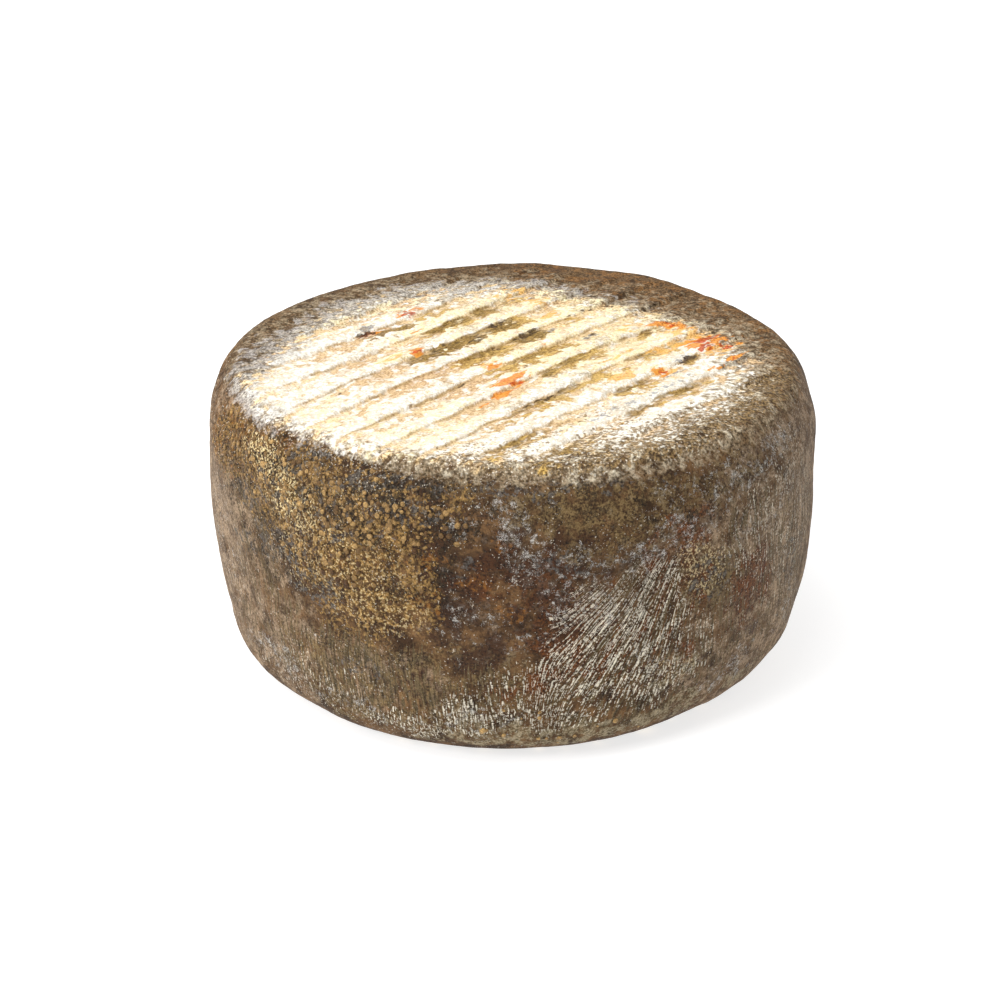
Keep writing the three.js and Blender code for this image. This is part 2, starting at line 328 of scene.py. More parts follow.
# Patches on the side: angle from the front in degrees, height, half width in degrees, half
# height, share of the surface covered in its middle
SIDE_PATCHES = {
    # Greyish-brown crust; its two large patches on the left and right flanks are also painted rim light
    "taupe_and_painted_rim_light": (
        (-72, 45, 20, 50, 0.95), (-55, 30, 14, 22, 0.85), (64, 50, 24, 55, 0.9), (46, 24, 14, 16, 0.6),
        (-50, 50, 7, 12, 0.6), (40, 72, 10, 12, 0.4), (-30, 30, 16, 10, 0.45),
    ),
    "pale": (
        (4, 12, 22, 5, 0.8), (26, 13, 14, 4, 0.7), (-16, 12, 12, 3, 0.3), (28, 30, 7, 5, 0.4),
        (-8, 17, 5, 4, 0.45), (48, 14, 9, 3, 0.45), (33, 66, 4, 5, 0.35), (34, 55, 3, 5, 0.45),
    ),
    "olive": (
        (8, 89, 12, 6, 0.9), (26, 88, 14, 6, 0.85), (16, 80, 10, 6, 0.7), (-6, 92, 8, 4, 0.5),
        (36, 58, 6, 8, 0.85), (22, 93, 10, 3, 0.6), (42, 91, 8, 4, 0.5), (14, 30, 6, 4, 0.3),
        (2, 28, 8, 4, 0.35), (-26, 26, 18, 14, 0.6), (-8, 36, 10, 8, 0.45),
    ),
    "russet": (
        (4, 66, 8, 10, 0.75), (10, 50, 9, 14, 0.9), (47, 51, 6, 13, 0.9), (27, 60, 7, 13, 0.85),
        (15, 38, 9, 9, 0.85), (31, 78, 6, 6, 0.6), (-2, 79, 4, 3, 0.8), (-7, 65, 3, 5, 0.9),
        (26, 42, 6, 12, 0.7), (6, 34, 8, 8, 0.6),
    ),
    "umber": (
        (-15, 80, 5, 9, 0.85), (-12, 62, 5, 12, 0.92), (-9, 46, 5, 8, 0.6), (-3, 72, 7, 7, 0.6),
        (-16, 29, 7, 4, 0.5), (-4, 38, 6, 5, 0.4), (4, 58, 7, 12, 0.45), (20, 28, 8, 5, 0.25),
        (50, 32, 7, 4, 0.25), (-44, 33, 4, 4, 0.2), (10, 72, 12, 4, 0.4), (-10, 92, 8, 4, 0.5),
        (-22, 86, 12, 9, 0.55), (4, 80, 10, 8, 0.35),
    ),
    "amber": (
        (-6, 65, 2.5, 3, 0.5), (-3, 79, 2.5, 2.5, 0.45), (-1, 56, 2, 2, 0.4), (-48, 95, 3, 2.5, 0.8),
        (-13, 72, 3, 3, 0.35), (-16, 60, 3, 4, 0.3), (-24, 84, 3, 2, 0.45),
        (-62, 84, 14, 12, 0.22), (-36, 74, 16, 10, 0.12),
    ),
    "gold": (
        (-60, 85, 12, 11, 0.85), (-42, 86, 14, 13, 0.97), (-28, 74, 12, 14, 0.92), (-50, 72, 8, 8, 0.8),
        (-34, 66, 9, 9, 0.92), (-26, 57, 9, 9, 0.72), (-18, 64, 5, 14, 0.55), (-30, 47, 8, 5, 0.4),
        (-14, 90, 8, 6, 0.4), (-24, 90, 10, 6, 0.5),
    ),
    "sand": (
        (-50, 88, 8, 5, 0.4), (-44, 80, 8, 7, 0.26), (-32, 66, 14, 14, 0.1), (-24, 54, 8, 8, 0.08),
        (-30, 88, 14, 6, 0.06), (34, 64, 5, 8, 0.14), (28, 30, 5, 5, 0.12),
    ),
    "slate": (
        (-50, 62, 5, 8, 0.4), (-42, 63, 4, 6, 0.45), (-37, 55, 5, 6, 0.35), (-57, 72, 3, 4, 0.4),
        (-33, 73, 4, 3, 0.45), (-25, 92, 7, 3, 0.6), (-14, 94, 9, 3, 0.6), (-21, 84, 5, 4, 0.4),
        (-39, 96, 5, 2, 0.4), (-15, 84, 4, 4, 0.4), (-60, 56, 4, 5, 0.3), (-10, 70, 3, 4, 0.4),
        (-40, 80, 16, 12, 0.16), (-28, 31, 6, 4, 0.2), (10, 73, 8, 4, 0.2), (62, 50, 5, 9, 0.2),
        (4, 95, 20, 3, 0.35), (36, 60, 5, 7, 0.25), (-47, 77, 3, 3, 0.55), (-43, 92, 3, 3, 0.5),
    ),
    "dust": (
        (-3, 87, 5, 5, 0.22), (-7, 57, 4, 3.5, 0.28), (-15, 49, 3, 2, 0.34), (1, 80, 5, 6, 0.24),
        (4, 70, 6, 9, 0.17), (10, 61, 8, 10, 0.18), (10, 73, 10, 5, 0.17), (21, 72, 8, 5, 0.24),
        (32, 77, 7, 6, 0.28), (42, 86, 8, 5, 0.28), (54, 91, 9, 4, 0.3), (58, 78, 8, 8, 0.12),
        (64, 60, 9, 16, 0.08), (28, 34, 8, 10, 0.1), (-36, 17, 14, 4, 0.14), (-54, 22, 8, 4, 0.2),
        (-20, 14, 9, 4, 0.16), (-8, 18, 9, 8, 0.16), (44, 19, 10, 4, 0.26), (66, 30, 9, 12, 0.16),
        (-2, 46, 8, 7, 0.13), (-10, 84, 3, 4, 0.2), (-70, 50, 9, 24, 0.1), (34, 90, 14, 5, 0.12),
        (-46, 20, 4, 3, 0.25), (48, 72, 8, 8, 0.12),
    ),
    "fleck": (
        (17, 51, 8, 12, 0.32), (23, 62, 6, 7, 0.24), (12, 36, 8, 12, 0.28), (27, 50, 5, 13, 0.18),
        (8, 24, 9, 9, 0.2), (24, 28, 8, 8, 0.26), (-7, 20, 7, 6, 0.3), (-20, 14, 8, 4, 0.2),
        (32, 36, 6, 12, 0.1), (0, 30, 6, 8, 0.1), (20, 40, 8, 8, 0.3), (56, 66, 16, 26, 0.07),
        (-40, 20, 16, 10, 0.06),
    ),
    # Painted shade in the crevices of the shoulder, as a dark net
    "painted_crevice_shade": (
        (-42, 87, 20, 10, 0.3), (-22, 86, 16, 11, 0.4), (-16, 70, 7, 14, 0.24), (-34, 66, 14, 12, 0.12),
        (-50, 62, 9, 14, 0.24), (22, 86, 26, 9, 0.14), (-4, 84, 8, 10, 0.2), (-28, 40, 16, 8, 0.14),
        (-62, 80, 12, 12, 0.22),
    ),
    "combed": (
        (-28, 28, 20, 13, 1.0), (-6, 26, 8, 12, 0.6), (21, 46, 10, 22, 1.0), (18, 24, 13, 11, 0.8),
        (38, 36, 10, 16, 0.6), (-56, 45, 12, 32, 0.45), (60, 50, 14, 34, 0.55), (44, 70, 8, 14, 0.5),
    ),
}

# Patches on the top face: along the slat marks, across them, half length, half width, share
TOP_PATCHES = {
    "cream": (
        (22, -2, 34, 36, 0.62), (10, 38, 34, 5, 0.62), (28, 14, 22, 12, 0.66), (24, -26, 24, 7, 0.75),
        (4, -15, 14, 4, 0.7), (-60, -20, 26, 12, 0.3), (-10, 60, 24, 6, 0.35), (-28, 27, 9, 4, 0.7),
        (-75, 5, 12, 16, 0.2), (-30, -50, 5, 4, 0.8), (48, 18, 14, 16, 0.5),
    ),
    "blush": (
        (-28, 8, 22, 22, 0.55), (-36, -24, 20, 8, 0.55), (-20, -54, 22, 4, 0.5), (-40, 34, 16, 8, 0.4),
    ),
    "tan": (
        (-38, 31, 20, 3.6, 0.6), (-42, 18.5, 20, 3.6, 0.6), (-38, 5.5, 20, 4.2, 0.72),
        (-32, -9, 15, 4.4, 0.72), (-32, -21, 18, 3.6, 0.5), (-42, 43, 18, 4, 0.55), (-62, 57, 10, 3, 0.5),
        (-34, -36, 26, 4, 0.75), (-50, -49, 20, 3.6, 0.65), (-10, -62, 20, 3.6, 0.45), (-70, 3, 12, 3, 0.45),
        (-66, -10, 14, 3, 0.4), (-8, 31.5, 10, 3.6, 0.7), (-28, 12, 14, 3, 0.45), (12, -48, 14, 3, 0.55),
        (20, -62, 22, 4, 0.55), (0, 60, 30, 4, 0.5), (52, -60, 14, 8, 0.6), (-5, -75, 24, 3, 0.35),
        (42, 30, 10, 12, 0.45), (-22, 48, 16, 4, 0.45),
    ),
    "bed": (
        (-30, 0, 32, 64, 0.85), (-70, 0, 22, 56, 0.55), (14, 0, 34, 64, 0.75), (52, 0, 14, 50, 0.6),
    ),
    # A darker line just past each step's sharp edge: dust in the corner and painted shade
    "nook_dust_and_painted_shade": (
        (-40, -4, 40, 60, 0.5), (10, 10, 34, 50, 0.6), (44, 0, 20, 40, 0.3),
    ),
    "ochre": (
        (-15, 4.8, 6.5, 5.0, 0.95), (4, -9, 13, 5.0, 0.9), (24.5, 18, 3, 4, 0.8), (2, 32, 9, 4, 0.6),
        (-4, 4.5, 8, 5.0, 0.8), (8, -21.4, 12, 4.2, 0.7), (21, 32, 5, 4.6, 0.7), (3, -49, 9, 3.8, 0.6),
        (-14, -9, 6, 4, 0.6), (8, 45, 8, 3, 0.6), (40, -35, 14, 4, 0.4), (-30, -36, 22, 4, 0.3),
        (6, -35, 10, 3, 0.45), (12, -61, 11, 3, 0.5), (34, 6, 5, 3, 0.4), (46, -20, 8, 3, 0.5),
        (-52, -49, 16, 3, 0.35),
    ),
    "brown": (
        (-9, 18.8, 17, 5.2, 0.97), (15.5, 19.8, 7, 4.0, 0.95), (15, 5.8, 8, 4.4, 0.92),
        (-5, 7.5, 7, 2.4, 0.6), (3, 34.6, 11, 2.8, 0.85), (21, 34.2, 5, 2.6, 0.7), (-14, 44, 10, 4.2, 0.85),
        (3, -6.4, 12, 1.6, 0.55), (-22, -32.8, 18, 1.4, 0.6), (7, -19.2, 9, 1.5, 0.6),
        (-6, -21, 3, 3, 0.55), (-50, -63, 16, 3.6, 0.3), (-50, -47.6, 14, 2, 0.45), (3, -46.4, 9, 1.5, 0.6),
        (12, -60, 10, 1.8, 0.5), (34, -46, 7, 1.8, 0.7), (-24, 20, 6, 3, 0.6), (34, 34, 5, 2, 0.4),
        (47, -19.5, 5, 1.6, 0.6), (30, -33, 8, 1.6, 0.45), (-10, -61, 12, 1.8, 0.45),
    ),
    # Dark lines, most of them painted shadow just under the lips of the steps' sharp edges; a few lie
    # further down the floors
    "ink_and_painted_lip_shadow": (
        (-12, 22.2, 8, 1.0, 0.55), (15, 22, 6, 1.2, 0.75), (0, 17.5, 4, 1.5, 0.75), (15, 8.4, 7, 1.2, 0.8),
        (-20, 49.4, 4, 1.8, 0.85), (-24, -32, 11, 0.7, 0.75), (34, -45.6, 6, 1.2, 0.85),
        (-34, -4.8, 9, 0.6, 0.6), (-64, 19.4, 8, 0.6, 0.6), (28, -8, 4, 1.2, 0.55), (-7, -12, 2, 1, 0.6),
        (0, 7.5, 3, 1.4, 0.6), (44, 9, 10, 0.6, 0.4), (62, 6, 6, 1.2, 0.4),
    ),
    "golden": (
        (35, 15, 5, 3, 0.8), (7, -40, 5.5, 2.8, 0.97), (42, -34, 13, 4, 0.6), (38, 38, 8, 4, 0.35),
        (48, -48, 8, 4, 0.6), (-28, 26.5, 8, 2, 0.6), (20, -28.5, 16, 1.2, 0.5), (54, -30, 5, 8, 0.6),
        (20, -47, 5, 4, 0.5), (40, 26, 6, 5, 0.35), (-14, -1, 4, 2, 0.6), (44, -14, 8, 3, 0.4),
    ),
    "orange": (
        (-19, -15.6, 7.5, 2.9, 0.97), (-29, -20, 8, 1.4, 0.9), (57, -22, 3, 5.5, 0.8),
        (50, -39, 9, 5.5, 0.75), (-21, 25, 3.2, 2.2, 0.95), (3, 52, 6, 2, 0.55), (-14, -3, 3.5, 1.6, 0.75),
        (19, -47, 2, 4, 0.65), (11.5, -3, 1.6, 0.9, 0.8), (33, -57, 5, 1.2, 0.6), (46, -56, 6, 1.4, 0.55),
        (-17, 49.5, 6, 1.8, 0.5), (52, -16.6, 5, 1.6, 0.7), (-50, 12, 1.6, 0.8, 0.6), (-8, 38, 3, 1, 0.4),
        (58, -45, 3, 6, 0.5),
    ),
    "ember": (
        (52, -38, 6.5, 2.8, 0.85), (46, -43.5, 3.5, 2.2, 0.8), (53, -47, 2.5, 2.5, 0.7),
        (-21, 24.6, 1.8, 1.5, 0.8), (1.5, 52, 2.4, 2.8, 0.85), (-20, 48.6, 3.5, 1.4, 0.75),
        (-19, -17, 5, 1.2, 0.4), (57, -19, 1.5, 3, 0.45), (20, -46, 1.5, 2, 0.45), (45, -56, 4, 0.8, 0.45),
    ),
    "steel": (
        (-17, 52.8, 3.6, 2, 0.92), (27, -8.5, 5, 1.4, 0.45), (31, -44, 5, 1.2, 0.55), (24, 5, 3, 1.4, 0.45),
        (20, -50.5, 6, 1, 0.4), (44, 42, 5, 3, 0.35), (-2, -55, 22, 2.4, 0.25),
    ),
    "pepper": (
        (-42, -64, 22, 5, 0.5), (-30, -75, 34, 6, 0.5), (10, -76, 18, 4, 0.32), (-62, -52, 14, 6, 0.2),
        (-10, -84, 40, 5, 0.68), (-70, -40, 10, 8, 0.15), (-30, -51, 16, 3, 0.15), (38, -74, 12, 6, 0.55),
    ),
}
BLOOM_REACH = (  # direction in degrees from the front; from the axis to the border of the bloom
    (-180, 60), (-150, 68), (-120, 69), (-90, 78), (-60, 93), (-30, 93), (0, 87), (30, 88), (60, 83),
    (90, 76), (120, 64), (150, 58),
)
BASE_BLOOM_RADIUS = 68
GOLDEN_SIDE = -50  # direction of the golden crust, in degrees from the front
TOP_STARTS = (HEIGHT - 3.2, HEIGHT - 1.5)  # heights over which the side becomes the top
BASE_STARTS = (3, 1)  # and the base
# The crease line is painted shade: a dark line in the crease under the front rim
PAINTED_CREASE_SHADE_HEIGHT = HEIGHT - 5  # height of the dark line along the crease
FRINGE = 1.6  # mm of ochre beside each brown patch


def patches(a, b, spots):
    """Strongest of several soft ellipses: share times smooth(1.45 - d), d being the distance
    from the middle in half widths. Spots are (a, b, half a, half b, share)."""
    most = np.zeros(len(a))
    for middle_a, middle_b, half_a, half_b, share in spots:
        distance = np.hypot((a - middle_a) / half_a, (b - middle_b) / half_b)
        most = np.maximum(most, share * smooth(1.45 - distance, 0, 0.9))
    return most


def side_patches(angle, height, spots):
    """The side's patches. The back repeats the front's, the other way round, and the two blend
    where they meet."""
    front = patches(angle, height, spots)
    behind = patches(np.where(angle > 0, 180 - angle, -180 - angle), height, spots)
    return mix(front, behind, smooth(np.abs(angle), 80, 100))


def side_growths(point, warp, off_face):
    """What grows on the side, its patches drawn out of shape by noise, and the shade and rim light painted
    on it. Dust also lies in wider, more ragged patches, over a film, and the greyish-brown crust, which on
    the two flanks is also painted rim light, thins out here and there. The foot is painted shade, a dark
    line along the bottom edge, and the crease is painted shade under the front rim."""
    angle = bearing(point)
    height = point[:, 2]
    masks = {
        name: side_patches(angle + 2 * warp[0], height + 3 * warp[1], spots) * off_face
        for name, spots in SIDE_PATCHES.items()
    }
    wide = side_patches(angle + 5 * warp[1], height + 6 * warp[2], SIDE_PATCHES["dust"]) * off_face
    masks["dust"] = (0.3 * masks["dust"] + 0.4 * wide) * (1 + 0.5 * noise(point, 6, 25, 2))
    masks["film"] = 1.6 * masks["dust"]
    # Greyish-brown crust, on the two flanks also painted rim light
    masks["taupe_and_painted_rim_light"] = masks["taupe_and_painted_rim_light"] * (1 + 0.35 * noise(point, 45, 26, 2))
    masks["ridge"] = 0.34 * masks["combed"]
    masks["scratch"] = 0.34 * masks["combed"]
    # The foot is painted shade: a dark line along the bottom edge where the wheel stands on the table
    masks["foot"] = 0.85 * smooth(height, 3.5, 1) * smooth(from_axis(point), 70, 76)
    # The crease mask is painted shade under the front rim's lip
    middle = PAINTED_CREASE_SHADE_HEIGHT - 0.8 * warp[0]
    masks["crease"] = 0.4 * np.exp(-((height - middle) / 1.3) ** 2) * smooth(32 - np.abs(angle), 0, 20)
    return masks


def past_border(point, warp):
    """Millimetres that a point lies outside the top's bloom, whose border is moved by noise."""
    past = from_axis(point) + 3 * warp[2] + 2.5 * noise(point, 26, 21, 2)
    return past - np.interp(bearing(point), *np.transpose(BLOOM_REACH), period=360)


def border_growths(point, past):
    """The top's bloom and what lines its border, down the shoulder too. Over the golden crust the
    bloom ends within 4 mm. Elsewhere it thins over 9 mm and powder carries it on."""
    angle = bearing(point)
    height = point[:, 2]
    _, across = step_frame(point)
    soft = smooth(np.abs(angle - GOLDEN_SIDE), 30, 90)
    golden = smooth(40 - np.abs(angle - GOLDEN_SIDE), 0, 30)
    ahead = smooth(-point[:, 1], 0, 60)
    pale = np.maximum(ahead, smooth(np.abs(angle + 145), 60, 30))
    rim = smooth(height, HEIGHT - 6, HEIGHT - 2.2)
    shoulder = smooth(height, HEIGHT - mix(6.5, 3.2, golden), HEIGHT - mix(2.5, 1.5, golden))
    flaking = smooth(height, HEIGHT - 9, HEIGHT - 4)
    return {
        "bloom": smooth(-(past + 2 + 5 * soft) / mix(4, 9, soft), -0.9, 0.9) * rim,
        "powder": mix(0.3, 0.65, soft) * smooth(-(past - 1) / mix(6, 11, soft), -0.9, 0.9) * shoulder,
        "ring": 0.92 * smooth(past, -8, 4) * shoulder,
        "rust": 0.3 * smooth(past, -8, 2) * shoulder * smooth(np.abs(angle - 150), 90, 50),
        "halo": mix(0.35, 0.65, pale) * smooth(22 - np.abs(past - 2), 0, 16) * shoulder,
        "grey": 0.8 * smooth(12 - np.abs(past - 1), 0, 10) * rim * smooth(across, -10, 40),
        "flake": 0.06 * ahead * smooth(9 - np.abs(past), 0, 7) * flaking,
    }


def face_growths(point, warp, past, on_top):
    """What grows on the top, its patches drawn out of shape by noise. All but the pepper stay
    inside the bloom, and an ochre fringe lies beside each brown patch."""
    fine = [noise(point, 2.6, seed, 2) for seed in (14, 15)]
    along, across = step_frame(point)
    along = along + 1.2 * warp[0] + 0.8 * fine[0]
    across = across + 0.5 * warp[1] + 0.45 * fine[1]
    inside = smooth(-past, -6, 2)
    masks = {
        name: patches(along, across, spots) * on_top * (1 if name == "pepper" else inside)
        for name, spots in TOP_PATCHES.items()
    }
    fringe = patches(along, across + FRINGE, TOP_PATCHES["brown"]) * on_top
    masks["ochre"] = np.maximum(masks["ochre"], 0.85 * fringe)
    for name in ("ochre", "brown"):  # these are solid almost to their edges
        masks[name] = 1 - (1 - masks[name]) ** 2
    masks["bed"] = masks["bed"] * (1 + 0.25 * noise(point, 20, 31, 2))
    return masks


def growths(point):
    """The share of the surface, from 0 to 1, that each thing covers around a point."""
    warp = [noise(point, 9, seed, 3) for seed in (11, 12, 13)]
    on_top = smooth(point[:, 2], *TOP_STARTS)
    on_base = smooth(point[:, 2], *BASE_STARTS)
    off_face = (1 - on_top) * (1 - on_base)
    past = past_border(point, warp)
    masks = side_growths(point, warp, off_face)
    masks.update(border_growths(point, past))
    masks.update(face_growths(point, warp, past, on_top))
    crust = off_face * (1 - masks["bloom"])
    # Pale specks on the bare crust: salt-like crystals, and painted glints
    masks["speck_and_painted_glint"] = crust * (0.018 + 0.018 * warp[0])
    # Dark dots: painted shade in small pits of the crust
    masks["painted_pit_shade"] = crust * (0.05 + 0.03 * warp[1])
    masks["vein"] = 0.09 * masks["bloom"] * on_top
    past_base = np.hypot(*step_frame(point, -1)) + 5 * warp[2] - BASE_BLOOM_RADIUS
    masks["bloom"] = np.maximum(masks["bloom"], 0.85 * smooth(-past_base, -6, 9) * on_base)
    masks["bed"] = np.maximum(masks["bed"], 0.4 * on_base)
    return {name: np.clip(mask, 0, 1) for name, mask in masks.items()}


# The brush strokes of the fan start from one point, and at one level they are as close as all
# others. Degrees from the front, and heights
FAN_ANGLE = 36
FAN_HEIGHT = 100
FAN_LEVEL = 41
STROKE_SLANT = 0.06  # mm round the wheel for each mm of height, and more on the left shoulder
SHOULDER_SLANT = 0.6


def comb(point, ragged):
    """Coordinates for streaks, which run along the third of them, in mm. On the faces they lie
    across and along the slat marks. On the side they are those of the wheel itself, turned round
    its axis so that the streaks run straight down from one point in the fan, and aslant on the
    left shoulder."""
    angle = bearing(point)
    height = point[:, 2]
    front = np.abs(angle) < 90
    folded = np.where(front, angle, np.sign(angle) * 180 - angle)
    fan = smooth(folded, 0, 10) * (1 - smooth(folded, 34, 46)) * (1 - smooth(height, 70, 82))
    off = RADIUS * np.radians(FAN_ANGLE - folded)
    wide = (FAN_HEIGHT - FAN_LEVEL) / np.maximum(FAN_HEIGHT - height, 9)
    aslant = smooth(folded, -88, -55) * (1 - smooth(folded, -22, 4)) * smooth(height, 34, 60)
    shift = off * (1 - wide) * fan + (STROKE_SLANT + SHOULDER_SLANT * aslant) * (height - HEIGHT / 2)
    turned = np.radians(angle) + np.where(front, 1, -1) * shift / RADIUS
    radius = from_axis(point)
    side = np.stack([radius * np.sin(turned), -radius * np.cos(turned), height], axis=-1)
    along, across = step_frame(point)
    base_along, base_across = step_frame(point, -1)
    upper = height > HEIGHT / 2
    across = np.where(upper, across, base_across + TOP_EDGE - BASE_EDGE) + EDGE_WANDER * ragged
    along = np.where(upper, along, base_along)
    face = np.stack([across, np.zeros_like(across), along], axis=-1)
    on_face = np.abs(height - HEIGHT / 2) > HEIGHT / 2 - 4  # the top 4 mm and the lowest 4
    return np.where(on_face[:, None], face, side)


# The relief, in millimetres. Pitches are from one to the next
LUMP_PITCH = 3.4
LUMP_HEIGHT = 0.1
GOLDEN_LUMP_HEIGHT = 0.8  # more where the crust is golden
RIB_PITCH = 3.2
RIB_HEIGHT = 0.38
CREASE_HEIGHT = 96.6
CREASE_DEPTH = 0.9
PLATE_PITCH = 6.5
PLATE_HEIGHT = 0.2
CRUMB_PITCH = 3.2
CRUMB_HEIGHT = 0.25
FLAT = (1, 1, 0.3)  # in plates and crumbs heights count for less, so slat marks don't cut them
SUNK = 0.15  # all of it lies this much lower, which keeps the wheel at its size


def relief(point, masks):
    """Millimetres that the rind stands out. Waves and lumps are on the whole side, a sine of ribs
    goes round the left shoulder, a crease, a bell over the height, runs under the front rim, and
    plates and crumbs of mould lie in the bloom."""
    angle = bearing(point)
    height = point[:, 2]
    top = smooth(height, HEIGHT - 4, HEIGHT - 1)
    side = (1 - top) * smooth(height, 0.5, 4)
    out = 0.25 * noise(point, 15, 41, 3) * side
    distance, own = pebbles(point, LUMP_PITCH, 51)
    lump = smooth(0.75 - distance, 0, 0.5) * (0.35 + 0.65 * own)
    out += lump * (LUMP_HEIGHT + GOLDEN_LUMP_HEIGHT * masks["gold"]) * side
    rib_place = np.radians(angle) * RADIUS + 0.8 * noise(point, 8, 61)
    shoulder = smooth(height, 70, 84) * side
    left = smooth(-angle, 45, 70) * (1 - smooth(-angle, 130, 160))
    out += RIB_HEIGHT * np.sin(2 * np.pi * rib_place / RIB_PITCH) * shoulder * left
    crease = np.exp(-((height - CREASE_HEIGHT - 0.8 * noise(point, 12, 62)) / 1.1) ** 2)
    out -= CREASE_DEPTH * crease * smooth(angle, -40, -20) * (1 - smooth(angle, 25, 50))
    plate, own = pebbles(point * FLAT, PLATE_PITCH, 71)
    out += masks["bloom"] * PLATE_HEIGHT * smooth(0.6 - plate, 0, 0.25) * own * top
    crumb, own = pebbles(point * FLAT, CRUMB_PITCH, 72)
    out += masks["bloom"] * CRUMB_HEIGHT * smooth(0.55 - crumb, 0, 0.3) * smooth(own, 0.5, 1) * top
    out += 0.15 * noise(point, 4, 81, 2) * top
    return out - SUNK


# ---------------------------------------------------------------- mesh


def add_object(name, data):
    """Puts an object with this data into the scene."""
    added = bpy.data.objects.new(name, data)
    bpy.context.scene.collection.objects.link(added)
    return added


def store(mesh, name, kind, values):
    """Puts one number or vector for each vertex into a named attribute."""
    attribute = mesh.attributes.new(name, kind, "POINT")
    attribute.data.foreach_set("vector" if kind == "FLOAT_VECTOR" else "value", values.ravel())


def push_of(share):
    """How far the noise that a growth is cut from is raised, in its standard deviations, for the
    growth to cover that share: log(share / (1 - share)) / 1.7, close to the normal curve."""
    share = np.clip(share, 0.0003, 0.9997)
    return np.log(share / (1 - share)) / 1.7


def vertex_normals(mesh, count):
    """Normals of a mesh's vertices as an array."""
    normals = np.empty(count * 3)
    mesh.vertex_normals.foreach_get("vector", normals)
    return normals.reshape(-1, 3)


def press(even, ragged):
    """Moves the grid's points off the falls, then presses the slat marks into both faces. On the
    top, mould rounds the edges: with s the softness, z the even height and b the board's, a point
    comes to the height -s log(exp(-z / s) + exp(-b / s))."""
    upper = even[:, 2] > HEIGHT / 2
    radius = from_axis(even)
    point = even.copy()
    for side, edge, face, reach in (
        (1, TOP_EDGE, upper, TOP_GRID_RADIUS), (-1, BASE_EDGE, ~upper, BASE_GRID_RADIUS),
    ):
        _, across = step_frame(point, side)
        _, past = past_edge(across, edge, ragged)
        shift = snap(past) * (1 - smooth(radius, reach - 6, reach - 1)) * face
        point[:, 0] += shift * np.sin(STEP_HEADING)
        point[:, 1] -= side * shift * np.cos(STEP_HEADING)
    level = point[:, 2]
    board = HEIGHT - (1 - MOULD_FILL) * step_depth(*step_frame(point), TOP_EDGE, ragged)
    rounded = -EDGE_SOFTNESS * np.logaddexp(-level / EDGE_SOFTNESS, -board / EDGE_SOFTNESS)
    lower = np.maximum(level, step_depth(*step_frame(point, -1), BASE_EDGE, ragged))
    return np.c_[point[:, :2], np.where(upper, rounded, lower)]


def make_wheel():
    """The rind: the grid, pressed, made uneven and raised along its normals by its relief, over
    the middle of the solid. What grows on it is in its attributes."""
    even, quads = wheel_grid()
    ragged = noise(even, 5, 31, 2)
    point = press(even, ragged)
    masks = growths(point)
    form = make_uneven(point)
    mesh = bpy.data.meshes.new("rind")
    mesh.from_pydata(form, [], quads)
    normals = vertex_normals(mesh, len(point))
    raised = form + normals * relief(point, masks)[:, None]
    middle = (raised.min(axis=0) + raised.max(axis=0)) / 2
    cad_middle = (np.array(CAD_BOX[0]) + np.array(CAD_BOX[1])) / (2 * MM)
    raised[:, :2] += cad_middle[:2] - middle[:2]
    raised[:, 2] = np.maximum(raised[:, 2], 0)
    mesh.vertices.foreach_set("co", (raised * MM).ravel())
    for name, *_ in GROWTHS:
        store(mesh, name + "_push", "FLOAT", push_of(masks[name]))
    for name in ("bloom", "combed", "gold", "umber"):
        store(mesh, name, "FLOAT", masks[name])
    store(mesh, "comb", "FLOAT_VECTOR", comb(point, ragged))
    mesh.polygons.foreach_set("use_smooth", np.ones(len(quads), dtype=bool))
    mesh.update()
    return add_object("cheese_rind", mesh), point, raised, normals, masks["bloom"]


# Granules of rind: where they sit (angle, height, half width in degrees, half height, share of the
# places taken), and how ripe each place makes them: 0 olive, 0.5 ochre, 1 cream
GRANULE_PLACES = (
    (-42, 85, 16, 9, 0.75), (-25, 82, 10, 10, 0.8), (-12, 84, 5, 6, 0.6), (-34, 68, 12, 12, 0.55),
    (-60, 86, 10, 8, 0.5), (-24, 56, 8, 8, 0.3), (12, 12, 20, 4, 0.12), (2, 20, 6, 4, 0.12),
)
RIPE_PLACES = (
    (-42, 85, 30, 22, 0.55), (-52, 90, 8, 5, 0.75), (-25, 84, 12, 12, 0.5), (5, 14, 30, 9, 0.9),
)
GRANULE_PITCH = 2.1  # mm, of the cells that hold one granule at most
GRANULE_SIZES = (0.35, 1.0)  # radius in mm, more often small than large
GRANULE_FLATNESS = 0.4  # height as a share of the width
GRANULE_LIFT = 0.05  # of its middle over the rind, in radii
GRANULE_STRETCH = 0.3  # the longest are this much longer than wide
GRANULE_DENTS = 0.12  # share of the radius
RIPE_SWING = 0.9  # from granule to granule
GRANULE_TURNS = 8
GRANULE_RINGS = 5
SEEDS_PER_MM = 64  # fine enough to give each vertex its own random numbers


